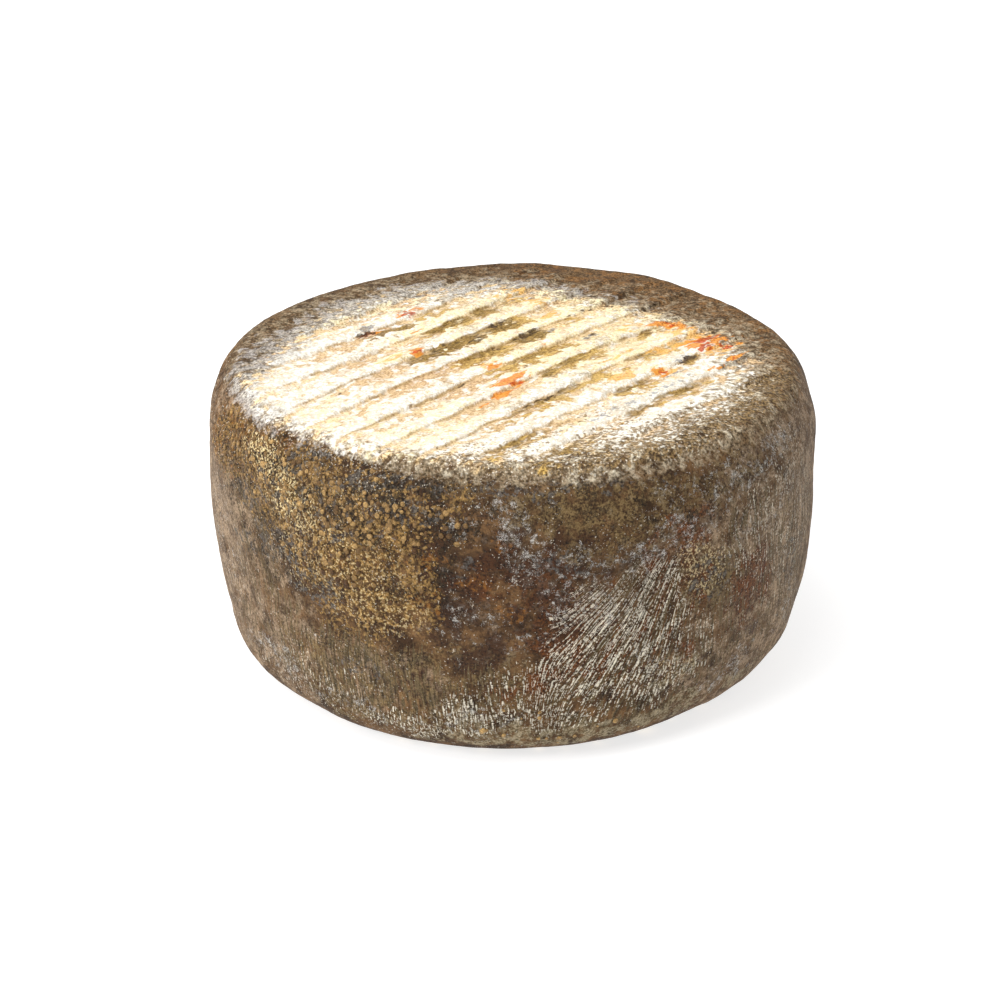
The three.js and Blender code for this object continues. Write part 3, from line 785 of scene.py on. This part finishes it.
def unit_ball():
    """Points and triangles of a ball: a pole, rings at even angles t from it with radius sin(t)
    and height cos(t), and the other pole."""
    tilt = np.pi * np.arange(1, GRANULE_RINGS) / GRANULE_RINGS
    turn = 2 * np.pi * np.arange(GRANULE_TURNS) / GRANULE_TURNS
    ring = np.stack([
        np.sin(tilt)[:, None] * np.cos(turn),
        np.sin(tilt)[:, None] * np.sin(turn),
        np.broadcast_to(np.cos(tilt)[:, None], (len(tilt), len(turn))),
    ], axis=-1).reshape(-1, 3)
    ball = np.concatenate([[(0, 0, 1)], ring, [(0, 0, -1)]])
    index = 1 + np.arange(len(ring)).reshape(len(tilt), len(turn))
    beside = np.roll(index, -1, axis=1)
    faces = np.concatenate([
        np.stack([np.zeros_like(index[0]), index[0], beside[0]], axis=-1),
        np.stack([index[:-1], index[1:], beside[1:]], axis=-1).reshape(-1, 3),
        np.stack([index[:-1], beside[1:], beside[:-1]], axis=-1).reshape(-1, 3),
        np.stack([index[-1], np.full_like(index[0], len(ball) - 1), beside[-1]], axis=-1),
    ])
    return ball, faces


def granule_vertices(point, bloom):
    """Which vertices bear a granule: in each cell the one with the largest random number, where
    another random number is below the share of the cells that is taken."""
    order = np.argsort(-cell_random(np.floor(point * SEEDS_PER_MM), 91))
    cells = np.floor(point[order] / GRANULE_PITCH).astype(int)
    _, first = np.unique(cells, axis=0, return_index=True)
    chosen = order[first]
    spot = point[chosen]
    taken = side_patches(bearing(spot), spot[:, 2], GRANULE_PLACES) * (1 - bloom[chosen])
    return chosen[cell_random(np.floor(spot * SEEDS_PER_MM), 92) < taken]


def make_granules(point, raised, normals, bloom):
    """Flattened, slightly uneven balls half sunk in the rind, as one mesh. Each lies level on the
    rind, turned at random about its normal."""
    chosen = granule_vertices(point, bloom)
    spot = point[chosen]
    seed = np.floor(spot * SEEDS_PER_MM)
    size = mix(*GRANULE_SIZES, cell_random(seed, 93) ** 1.5)
    ripe = side_patches(bearing(spot), spot[:, 2], RIPE_PLACES)
    ripe = ripe + RIPE_SWING * (cell_random(seed, 94) - 0.5)
    out = normals[chosen]
    level = np.cross(out, (0.0, 0.0, 1.0))
    level /= np.linalg.norm(level, axis=1)[:, None]
    steep = np.cross(out, level)
    lie = 2 * np.pi * cell_random(seed, 95)
    long = level * np.cos(lie)[:, None] + steep * np.sin(lie)[:, None]
    wide = steep * np.cos(lie)[:, None] - level * np.sin(lie)[:, None]
    ball, faces = unit_ball()
    stretch = 1 + GRANULE_STRETCH * cell_random(seed, 96)
    shape = (
        ball[None, :, 0, None] * (long * stretch[:, None])[:, None, :]
        + ball[None, :, 1, None] * wide[:, None, :]
        + (GRANULE_FLATNESS * ball[None, :, 2, None] + GRANULE_LIFT) * out[:, None, :]
    ) * size[:, None, None]
    dents = noise((ball[None] * 1.3 + spot[:, None]).reshape(-1, 3), 0.9, 97)
    shape = shape * (1 + GRANULE_DENTS * dents.reshape(shape.shape[:2])[..., None])
    places = raised[chosen][:, None, :] + shape
    faces = (faces[None] + len(ball) * np.arange(len(chosen))[:, None, None]).reshape(-1, 3)
    mesh = bpy.data.meshes.new("granules")
    mesh.from_pydata(places.reshape(-1, 3) * MM, [], faces)
    store(mesh, "ripe", "FLOAT", np.repeat(np.clip(ripe, 0, 1), len(ball)))
    mesh.polygons.foreach_set("use_smooth", np.ones(len(faces), dtype=bool))
    mesh.update()
    return add_object("rind_granules", mesh)


# ---------------------------------------------------------------- materials


def linear(colour):
    """An sRGB hex colour as linear red, green, blue and alpha 1."""
    parts = [int(colour[i : i + 2], 16) / 255 for i in (1, 3, 5)]
    return [c / 12.92 if c < 0.04045 else ((c + 0.055) / 1.055) ** 2.4 for c in parts] + [1.0]


def empty_tree(owner):
    """The node tree of a material or a world, without any node yet."""
    owner.use_nodes = True
    owner.node_tree.nodes.clear()
    return owner.node_tree


def add(tree, kind, inputs, **settings):
    """Adds a node, sets its own settings, and fills its sockets with values or links. A node
    that is given as a value is linked by the first of its outputs that is in use."""
    node = tree.nodes.new("ShaderNode" + kind)
    for name, value in settings.items():
        setattr(node, name, value)
    for key, value in inputs.items():
        if isinstance(value, bpy.types.Node):
            value = next(output for output in value.outputs if output.enabled)
        if isinstance(value, bpy.types.NodeSocket):
            tree.links.new(value, node.inputs[key])
        else:
            node.inputs[key].default_value = value
    return node


# What shows on the rind, from the bottom up: name; form; grain in mm; stretch along the comb;
# softness of the edge; full cover; dark and light colour; mm that it stands out; roughness.
# Forms: blots; edge, floor and ramp, which are blots only on those parts of the slat marks; flecks,
# which are broken strokes; net, which is thin curved lines.
GROWTHS = (
    # Greyish-brown crust, which on the left and right flanks is also painted rim light
    ("taupe_and_painted_rim_light", "blots", 5.0, 1, 6.0, 0.88, "#6f5c49", "#a08a71", 0.00, 0.85),
    ("pale", "blots", 3.0, 1, 3.0, 0.75, "#73654a", "#a3967a", 0.05, 0.85),
    ("olive", "blots", 3.0, 1, 3.4, 0.85, "#463521", "#786341", 0.00, 0.75),
    ("russet", "blots", 7.0, 1, 2.8, 0.90, "#351d08", "#693b17", 0.00, 0.65),
    ("umber", "blots", 7.0, 1, 2.8, 0.90, "#1d1008", "#3c2413", -0.05, 0.55),
    ("gold", "blots", 1.8, 1, 2.0, 0.90, "#483116", "#ae884e", 0.15, 0.60),
    ("amber", "blots", 2.0, 1, 2.4, 0.80, "#472c0f", "#7b4f1e", 0.05, 0.45),
    ("sand", "blots", 0.8, 1, 1.2, 0.85, "#ab9060", "#dcc898", 0.08, 0.60),
    ("slate", "blots", 2.0, 1, 1.5, 0.80, "#2b2928", "#595652", -0.15, 0.80),
    # Painted shade in the crevices of the shoulder, as a dark net
    ("painted_crevice_shade", "net", 1.3, 1, 1.4, 0.85, "#1b1611", "#372e22", -0.25, 0.80),
    ("ridge", "blots", 0.7, 24, 1.0, 0.70, "#87744f", "#b09b72", 0.12, 0.80),
    ("scratch", "blots", 0.7, 24, 1.0, 0.75, "#21170c", "#3a2c1a", -0.15, 0.70),
    ("fleck", "flecks", 0.5, 14, 0.6, 0.95, "#9c9280", "#d4ccba", 0.12, 0.90),
    ("film", "blots", 3.0, 1, 3.0, 0.18, "#544e48", "#7d776f", 0.00, 0.90),
    ("dust", "net", 0.45, 1, 0.8, 0.85, "#86827b", "#bfbcb6", 0.08, 0.90),
    # foot: painted shade, a dark line along the bottom edge where the wheel stands
    ("foot", "blots", 4.0, 1, 3.0, 0.80, "#1d1812", "#382f24", 0.00, 0.80),
    # crease: painted shade under the front rim's lip
    ("crease", "blots", 1.4, 1, 1.6, 0.80, "#2a1f13", "#463624", -0.15, 0.70),
    ("ring", "blots", 6.0, 1, 3.0, 0.90, "#43331f", "#72593d", 0.00, 0.80),
    ("rust", "blots", 5.0, 1, 2.4, 0.60, "#573a1e", "#8b6236", 0.00, 0.80),
    ("halo", "blots", 2.4, 1, 3.6, 0.75, "#6f5f49", "#9c8b71", 0.05, 0.90),
    ("powder", "blots", 3.0, 1, 5.0, 0.90, "#9f9077", "#ccc0a8", 0.10, 0.90),
    ("bloom", "blots", 2.2, 1, 4.4, 1.00, "#d8cdba", "#f8f4ea", 0.15, 0.90),
    ("grey", "blots", 4.0, 1, 3.0, 0.60, "#928c86", "#bcb8b3", 0.00, 0.90),
    ("flake", "blots", 0.8, 1, 1.0, 0.80, "#a59d8d", "#dcd6c8", 0.10, 0.90),
    ("cream", "blots", 4.0, 1, 2.5, 0.80, "#e4ca8a", "#f4e7bf", 0.00, 0.90),
    ("blush", "ramp", 4.0, 1, 3.0, 0.72, "#bd9c82", "#d9c4b0", 0.00, 0.90),
    ("bed", "ramp", 3.0, 1.5, 2.6, 0.85, "#b88f5a", "#e8cc9c", -0.10, 0.85),
    ("tan", "floor", 3.0, 1.5, 2.4, 0.80, "#9c7850", "#d2b38a", -0.10, 0.90),
    # Darker line just past each step's edge: dust in the corner and painted shade
    ("nook_dust_and_painted_shade", "edge", 3.0, 4, 2.4, 0.70, "#7c6034", "#a88a58", 0.00, 0.85),
    ("ochre", "floor", 3.6, 2, 1.8, 0.88, "#8a6523", "#caa65a", -0.15, 0.75),
    ("brown", "floor", 2.6, 2, 2.6, 0.82, "#564019", "#987a42", -0.15, 0.75),
    ("golden", "blots", 2.6, 2, 2.0, 0.85, "#d6963c", "#ebba6c", 0.00, 0.85),
    ("orange", "blots", 2.6, 2, 1.6, 0.90, "#cc6e16", "#e39638", 0.00, 0.85),
    ("ember", "blots", 1.8, 2, 1.4, 0.90, "#93320f", "#cb5722", 0.00, 0.75),
    ("steel", "blots", 2.2, 1, 1.6, 0.80, "#4f5057", "#9a9794", 0.00, 0.85),
    # Dark lines, mostly painted shadow under the lips of the steps' edges
    ("ink_and_painted_lip_shadow", "blots", 1.8, 2, 1.2, 0.88, "#2b2017", "#5a4630", -0.05, 0.75),
    ("pepper", "blots", 1.2, 1, 1.6, 0.85, "#46331f", "#8a7048", -0.12, 0.85),
    ("vein", "net", 2.4, 1, 0.8, 0.50, "#6e5a3c", "#a28a60", -0.08, 0.85),
    # Pale specks: salt-like crystals, and painted glints
    ("speck_and_painted_glint", "blots", 0.7, 1, 0.8, 0.80, "#9a8e7b", "#c9c0b0", 0.05, 0.60),
    # Dark dots: painted shade in small pits of the crust
    ("painted_pit_shade", "blots", 0.8, 1, 1.2, 0.65, "#170e07", "#2f2014", -0.20, 0.70),
)
FACE_GROWTHS = ("bloom", "powder", "halo", "ring", *TOP_PATCHES)
FINEST_GRAIN = 0.35  # mm, about as fine as a view of the whole wheel can show
FINEST_FACE_GRAIN = 0.7  # the same for what grows on the faces, which is softer
ROUGHNESS = 0.7  # height of each octave of the noise, as a share of the one before
FACE_ROUGHNESS = 0.55  # the same for what grows on the faces
NOISE_SPREAD = 0.124  # standard deviation of one octave of the noise texture
ENDS = {  # mm past a step's edge over which each form ends, and size of the lobes of that end
    "edge": (0.5, 1.6, 0.2), "floor": (6.2, 8.4, 1.9), "ramp": (5.0, 11.5, 2.2),
}
CRUST_COLOURS = ("#382616", "#705335")
CRUST_ROUGHNESS = 0.75
CLOUD_GRAIN = 8  # mm, of the clouds in the bare crust
GRIT_GRAIN = 0.8
STREAK_STRETCH = 24
WANDER_GRAIN = 3.0
LOBE_GRAIN = 4.0  # of the ragged ends of the slat marks' parts
FINEST_LOBE_GRAIN = 1.2
GRAIN_PITCH = 2.1  # mm, of the golden grains
GRAIN_BEND = 1.5  # mm, of the noise that bends their outlines
GRAIN_COLOURS = ("#5e3f1c", "#b08f58")
# Painted shade in the gaps between the golden grains
PAINTED_GRAIN_GAP_SHADE = "#2c2116"
STREAK_RISE = 0.05  # mm that streaks, grit and golden grains stand out
GRIT_RISE = 0.04
GRAIN_RISE = 0.25
GRIT_CONTRAST = (0.19, 0.03)  # on the crust and on the bloom
UMBER_QUIET = 0.6  # umber has this share of the bloom's quiet
COMBED_GRIT = 0.45  # share of the grit that is left on combed parts
STREAK_CONTRAST = 0.24
DARKEST = 0.3


def field(tree, place, grain, stretch=1, finest=FINEST_GRAIN, decay=ROUGHNESS):
    """Noise with its grain in mm, drawn out along the third coordinate of place, down to the
    finest grain. Its mean is 0 and its standard deviation is 1."""
    scaled = add(tree, "Mapping", {
        "Vector": place, "Scale": (1 / grain, 1 / grain, 1 / (grain * stretch)),
    })
    octaves = float(np.clip(np.log2(grain / finest), 1, 5))
    heights = decay ** np.arange(round(octaves) + 1)
    spread = NOISE_SPREAD * np.sqrt((heights**2).sum()) / heights.sum()
    raw = add(tree, "TexNoise", {
        "Vector": scaled, "Scale": 1.0, "Detail": octaves, "Roughness": decay,
    })
    return add(tree, "Math", {0: raw, 1: 1 / spread, 2: -0.5 / spread}, operation="MULTIPLY_ADD")


def golden_grains(tree, place):
    """The colour of golden grains, each grading from a darker bed at its edges, which is painted shade in
    the gaps between them, to its own colour in the middle; and their height from 0 to 1.
    """
    bend = add(tree, "TexNoise", {"Vector": place, "Scale": 1 / GRAIN_BEND, "Detail": 2.0})
    bent = {0: bend.outputs["Color"], 1: (1.0, 1.0, 1.0), 2: place}
    shifted = add(tree, "VectorMath", bent, operation="MULTIPLY_ADD")
    grains = add(tree, "TexVoronoi", {"Vector": shifted, "Scale": 1 / GRAIN_PITCH, "Randomness": 1.0})
    dark, light = map(linear, GRAIN_COLOURS)
    hue = add(tree, "Mix", {0: grains.outputs["Color"], 6: dark, 7: light}, data_type="RGBA")
    height = add(tree, "MapRange", {
        "Value": grains, "From Min": 0.3, "From Max": 0.75, "To Min": 1.0, "To Max": 0.0,
    }, interpolation_type="SMOOTHSTEP")
    # Each grain darkens to the painted gap shade at its edges
    colour = add(tree, "Mix", {0: height, 6: linear(PAINTED_GRAIN_GAP_SHADE), 7: hue}, data_type="RGBA")
    return colour, height


def slat_parts(tree, place, streaks, wander):
    """How much each point belongs to the edge, the floor and the ramp of a slat mark, from 0 to 1:
    they start at the same edge as in the mesh and have ragged ends."""
    across, _, _ = add(tree, "SeparateXYZ", {"Vector": streaks}).outputs
    beyond = add(tree, "Math", {0: float(TOP_EDGE), 1: across}, operation="SUBTRACT")
    past = add(tree, "Math", {0: beyond, 1: STEP_PITCH}, operation="FLOORED_MODULO")
    opens = add(tree, "MapRange", {"Value": past, "From Max": 0.6}, interpolation_type="SMOOTHSTEP")
    lobes = field(tree, place, LOBE_GRAIN, finest=FINEST_LOBE_GRAIN)
    parts = {}
    for form, (start, end, size) in ENDS.items():
        ragged = add(tree, "Math", {0: lobes, 1: size, 2: past}, operation="MULTIPLY_ADD")
        ragged = add(tree, "Math", {0: wander, 1: 0.3 * size, 2: ragged}, operation="MULTIPLY_ADD")
        closes = add(tree, "MapRange", {
            "Value": ragged, "From Min": start, "From Max": end, "To Min": 1.0, "To Max": 0.0,
        }, interpolation_type="SMOOTHSTEP")
        parts[form] = add(tree, "Math", {0: opens, 1: closes}, operation="MULTIPLY")
    return parts


def growth_pattern(tree, place, streaks, growth):
    """The noise that a growth is cut from. Of a noise p, blots take p itself, flecks 0.8 p plus
    0.55 of a coarser noise, and a net, which follows the lines where p is 0, 1 - 1.25 |p| plus
    half of a coarser noise."""
    name, form, grain, stretch = growth[:4]
    grounds = place if stretch == 1 else streaks
    if name in FACE_GROWTHS:
        pattern = field(tree, grounds, grain, stretch, FINEST_FACE_GRAIN, FACE_ROUGHNESS)
    else:
        pattern = field(tree, grounds, grain, stretch)
    if form == "flecks":
        broken = add(tree, "Math", {0: field(tree, place, 1.6 * grain), 1: 0.55}, operation="MULTIPLY")
        pattern = add(tree, "Math", {0: pattern, 1: 0.8, 2: broken}, operation="MULTIPLY_ADD")
    elif form == "net":
        line = add(tree, "Math", {0: pattern}, operation="ABSOLUTE")
        line = add(tree, "Math", {0: line, 1: -1.25, 2: 1.0}, operation="MULTIPLY_ADD")
        coarse = field(tree, place, 5.0 * grain)
        pattern = add(tree, "Math", {0: coarse, 1: 0.5, 2: line}, operation="MULTIPLY_ADD")
    return pattern


def lightness(tree, grit, streak, bloom, combed, umber):
    """The factor by which grit and streaks make the rind lighter or darker: 1 plus each of them
    times its contrast. That of grit is lower on bloom, umber and combed parts."""
    quiet = add(tree, "Math", {0: umber, 1: UMBER_QUIET}, operation="MULTIPLY")
    quiet = add(tree, "Math", {0: bloom, 1: quiet}, operation="MAXIMUM")
    on_crust, on_bloom = GRIT_CONTRAST
    depth = add(tree, "MapRange", {"Value": quiet, "To Min": on_crust, "To Max": on_bloom})
    calm = add(tree, "MapRange", {"Value": combed, "To Min": 1.0, "To Max": COMBED_GRIT})
    depth = add(tree, "Math", {0: depth, 1: calm}, operation="MULTIPLY")
    value = add(tree, "Math", {0: grit, 1: depth, 2: 1.0}, operation="MULTIPLY_ADD")
    value = add(tree, "Math", {0: streak, 1: STREAK_CONTRAST, 2: value}, operation="MULTIPLY_ADD")
    return add(tree, "Math", {0: value, 1: DARKEST}, operation="MAXIMUM")


def rind_material():
    """Natural cheese rind, formed by turning and brushing in a cave: a brown crust, grainy and streaked,
    under dull moulds from slate to white. It gives the eye a rough, powdery face with small waxy glints
    where the crust is bare. Some of its layers are painted light: shade in the crease, crevices, pits, under
    the steps' lips, between the golden grains and along the foot, rim light on the flanks and pale glints
    among the specks."""
    material = bpy.data.materials.new("natural_rind")
    tree = empty_tree(material)
    coordinates = add(tree, "TexCoord", {}).outputs["Object"]
    place = add(tree, "VectorMath", {0: coordinates, "Scale": 1 / MM}, operation="SCALE")
    streaks = add(tree, "Attribute", {}, attribute_name="comb").outputs["Vector"]
    bloom, combed, gold, umber = (
        add(tree, "Attribute", {}, attribute_name=name).outputs["Fac"]
        for name in ("bloom", "combed", "gold", "umber")
    )

    # Bare crust
    cloud = field(tree, place, CLOUD_GRAIN)
    cloud = add(tree, "MapRange", {"Value": cloud, "From Min": -2.0, "From Max": 2.2})
    dark, light = map(linear, CRUST_COLOURS)
    colour = add(tree, "Mix", {0: cloud, 6: dark, 7: light}, data_type="RGBA")
    rough = CRUST_ROUGHNESS
    grit = field(tree, place, GRIT_GRAIN)
    streak = field(tree, streaks, GRIT_GRAIN, STREAK_STRETCH)
    streak = add(tree, "Math", {0: streak, 1: combed}, operation="MULTIPLY")
    height = add(tree, "Math", {0: streak, 1: STREAK_RISE}, operation="MULTIPLY")
    grained, grain_top = golden_grains(tree, place)
    wander = field(tree, place, WANDER_GRAIN)
    parts = slat_parts(tree, place, streaks, wander)

    # Each growth covers what lies below it
    for growth in GROWTHS:
        name, form, _, _, edge, strength, dark, light, rise, matt = growth
        pattern = growth_pattern(tree, place, streaks, growth)
        push = add(tree, "Attribute", {}, attribute_name=name + "_push").outputs["Fac"]
        cover = add(tree, "MapRange", {
            "Value": add(tree, "Math", {0: pattern, 1: push}, operation="ADD"),
            "From Min": -edge / 2, "From Max": edge / 2, "To Max": strength,
        }, interpolation_type="SMOOTHSTEP")
        if form in parts:
            cover = add(tree, "Math", {0: cover, 1: parts[form]}, operation="MULTIPLY")
        shade = add(tree, "MapRange", {
            "Value": add(tree, "Math", {0: pattern, 1: grit}, operation="ADD"),
            "From Min": -2.0, "From Max": 2.6,
        }, interpolation_type="SMOOTHSTEP")
        hue = add(tree, "Mix", {0: shade, 6: linear(dark), 7: linear(light)}, data_type="RGBA")
        if name == "gold":
            hue = add(tree, "Mix", {0: 0.5, 6: hue, 7: grained}, data_type="RGBA")
        colour = add(tree, "Mix", {0: cover, 6: colour, 7: hue}, data_type="RGBA")
        rough = add(tree, "Mix", {0: cover, 2: rough, 3: matt})
        if rise:
            height = add(tree, "Math", {0: cover, 1: rise, 2: height}, operation="MULTIPLY_ADD")

    value = lightness(tree, grit, streak, bloom, combed, umber)
    colour = add(tree, "VectorMath", {0: colour, "Scale": value}, operation="SCALE")
    beads = add(tree, "Math", {0: grain_top, 1: gold}, operation="MULTIPLY")
    for bump, rise in ((grit, GRIT_RISE), (wander, GRIT_RISE), (beads, GRAIN_RISE)):
        height = add(tree, "Math", {0: bump, 1: rise, 2: height}, operation="MULTIPLY_ADD")
    metres = add(tree, "MapRange", {"Value": bloom, "To Min": MM, "To Max": 0.5 * MM})
    metres = add(tree, "Math", {0: height, 1: metres}, operation="MULTIPLY")
    shader = add(tree, "BsdfPrincipled", {
        "Base Color": colour,
        "Roughness": rough,
        "IOR": 1.45,
        "Specular IOR Level": 0.2,
        "Normal": add(tree, "Bump", {"Height": metres, "Strength": 1.0, "Distance": 1.0}),
    })
    add(tree, "OutputMaterial", {"Surface": shader})
    return material


def granule_material():
    """Dried beads of rind, waxy on top and dusted with cave mould: from dark brown to pale ochre
    by how ripe each is. They give the eye soft small glints."""
    material = bpy.data.materials.new("dried_rind_beads")
    tree = empty_tree(material)
    ripe = add(tree, "Attribute", {}, attribute_name="ripe").outputs["Fac"]
    dark, light = linear("#4c331a"), linear("#ac8a56")
    hue = add(tree, "Mix", {0: ripe, 6: dark, 7: light}, data_type="RGBA")
    coordinates = add(tree, "TexCoord", {}).outputs["Object"]
    mottle = add(tree, "TexNoise", {
        "Vector": coordinates, "Scale": 1 / (0.6 * MM), "Detail": 2.0, "Roughness": 0.7,
    })
    value = add(tree, "Math", {0: mottle, 1: 3.0, 2: -0.5}, operation="MULTIPLY_ADD")
    height = add(tree, "Math", {0: mottle, 1: 0.5 * MM}, operation="MULTIPLY")
    shader = add(tree, "BsdfPrincipled", {
        "Base Color": add(tree, "VectorMath", {0: hue, "Scale": value}, operation="SCALE"),
        "Roughness": 0.5,
        "IOR": 1.45,
        "Specular IOR Level": 0.3,
        "Normal": add(tree, "Bump", {"Height": height, "Strength": 1.0, "Distance": 1.0}),
    })
    add(tree, "OutputMaterial", {"Surface": shader})
    return material


def table_material():
    """Opal acrylic of a light table, lit from below: even, matt, almost without shadows."""
    material = bpy.data.materials.new("opal_acrylic")
    tree = empty_tree(material)
    shader = add(tree, "BsdfPrincipled", {
        "Base Color": linear("#b4b4b4"),
        "Roughness": 0.9,
        "Emission Color": linear("#ffffff"),
        "Emission Strength": TABLE_GLOW,
    })
    add(tree, "OutputMaterial", {"Surface": shader})
    return material


# ---------------------------------------------------------------- studio

FLOOR_SIZE = 40.0
CAMERA_TARGET = Vector((-4.08, 0, 46.52)) * MM
CAMERA_DISTANCE = 707.5 * MM
CAMERA_ELEVATION = np.radians(25.2)
CAMERA_LENS = 75.6
LIGHTS = (  # name, place, size, watts
    ("overhead", (-0.55, -0.25, 1.45), 1.3, 18),
    ("left", (-1.1, -1.0, 1.1), 0.6, 18),
)
ROOM_FRONT = 0.25  # brightness of the room behind the camera
ROOM_BACK = 0.8
TABLE_GLOW = 0.74


def make_studio():
    """Floor, soft lights, white surroundings and the camera."""
    scene = bpy.context.scene
    floor_mesh = bpy.data.meshes.new("floor")
    half = FLOOR_SIZE / 2
    corners = [(-half, -half, 0), (half, -half, 0), (half, half, 0), (-half, half, 0)]
    floor_mesh.from_pydata(corners, [], [(0, 1, 2, 3)])
    floor_mesh.materials.append(table_material())
    add_object("floor", floor_mesh)
    for name, place, size, watts in LIGHTS:
        data = bpy.data.lights.new(name, "AREA")
        data.shape = "DISK"
        data.size = size
        data.energy = watts
        light = add_object(name, data)
        light.location = place
        light.rotation_euler = (CAMERA_TARGET - light.location).to_track_quat("-Z", "Y").to_euler()
    world = bpy.data.worlds.new("white_room")
    tree = empty_tree(world)
    direction = add(tree, "TexCoord", {}).outputs["Generated"]
    _, away, _ = add(tree, "SeparateXYZ", {"Vector": direction}).outputs
    brightness = add(tree, "MapRange", {
        "Value": away, "From Min": -0.7, "From Max": 0.5, "To Min": ROOM_FRONT, "To Max": ROOM_BACK,
    }, interpolation_type="SMOOTHSTEP")
    background = add(tree, "Background", {"Color": linear("#ffffff"), "Strength": brightness})
    add(tree, "OutputWorld", {"Surface": background})
    scene.world = world
    data = bpy.data.cameras.new("camera")
    data.lens = CAMERA_LENS
    data.sensor_width = 36
    camera = add_object("camera", data)
    view = Vector((0, np.cos(CAMERA_ELEVATION), -np.sin(CAMERA_ELEVATION)))
    camera.location = CAMERA_TARGET - CAMERA_DISTANCE * view
    camera.rotation_euler = view.to_track_quat("-Z", "Y").to_euler()
    scene.camera = camera
    scene.view_settings.view_transform = "Standard"


make_studio()
rind, even_points, rind_points, rind_normals, rind_bloom = make_wheel()
rind.data.materials.append(rind_material())
granules = make_granules(even_points, rind_points, rind_normals, rind_bloom)
granules.data.materials.append(granule_material())
for piece in (rind, granules):
    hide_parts("cheese_wheel")
    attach(piece, "root")
